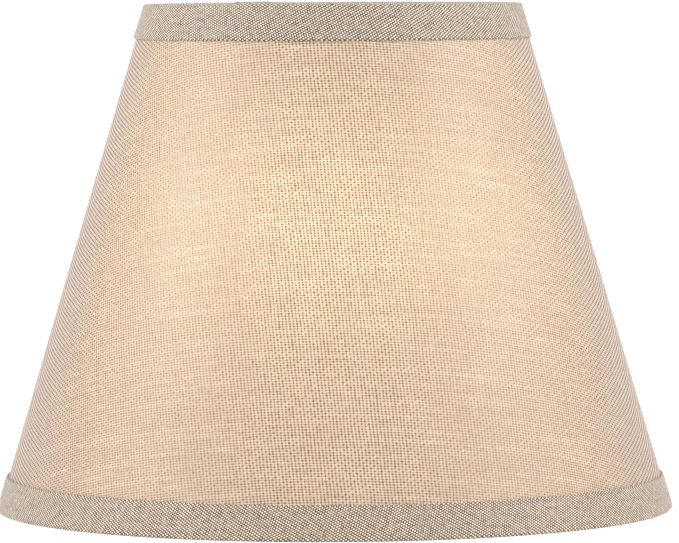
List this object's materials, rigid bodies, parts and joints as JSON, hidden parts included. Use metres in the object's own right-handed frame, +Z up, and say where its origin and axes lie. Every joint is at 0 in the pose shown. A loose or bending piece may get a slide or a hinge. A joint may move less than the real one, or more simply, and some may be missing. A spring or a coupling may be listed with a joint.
{
  "type": "lamp shade",
  "caption": "Empire lamp shade in plain-weave linen on a stiff plastic liner, with cloth binding round both wire rims and a recessed spider fitter under the top rim.",
  "frame": {"origin": "on the shade's axis, level with the foot of the bottom rim", "axes": "+Z up along the shade's axis; -Y is the front; the glued seam and one spider arm are at the back, +Y"},
  "size_m": [0.228, 0.2279, 0.1701],
  "materials": {
    "linen": "plain-weave linen with slubs, matte",
    "liner": "white styrene sheet, satin",
    "tape": "double-sided tape",
    "binding": "folded cloth tape, fine plain weave, matte",
    "white_wire": "white powder coat, satin"
  },
  "bodies": {
    "root": {"linen_cover": "linen", "plastic_liner": "liner", "seam_tape": "tape", "top_binding": "binding", "bottom_binding": "binding", "top_ring": "white_wire", "bottom_ring": "white_wire", "spider_arm_1": "white_wire", "spider_arm_2": "white_wire", "spider_arm_3": "white_wire", "spider_washer": "white_wire"}
  },
  "joints": []
}
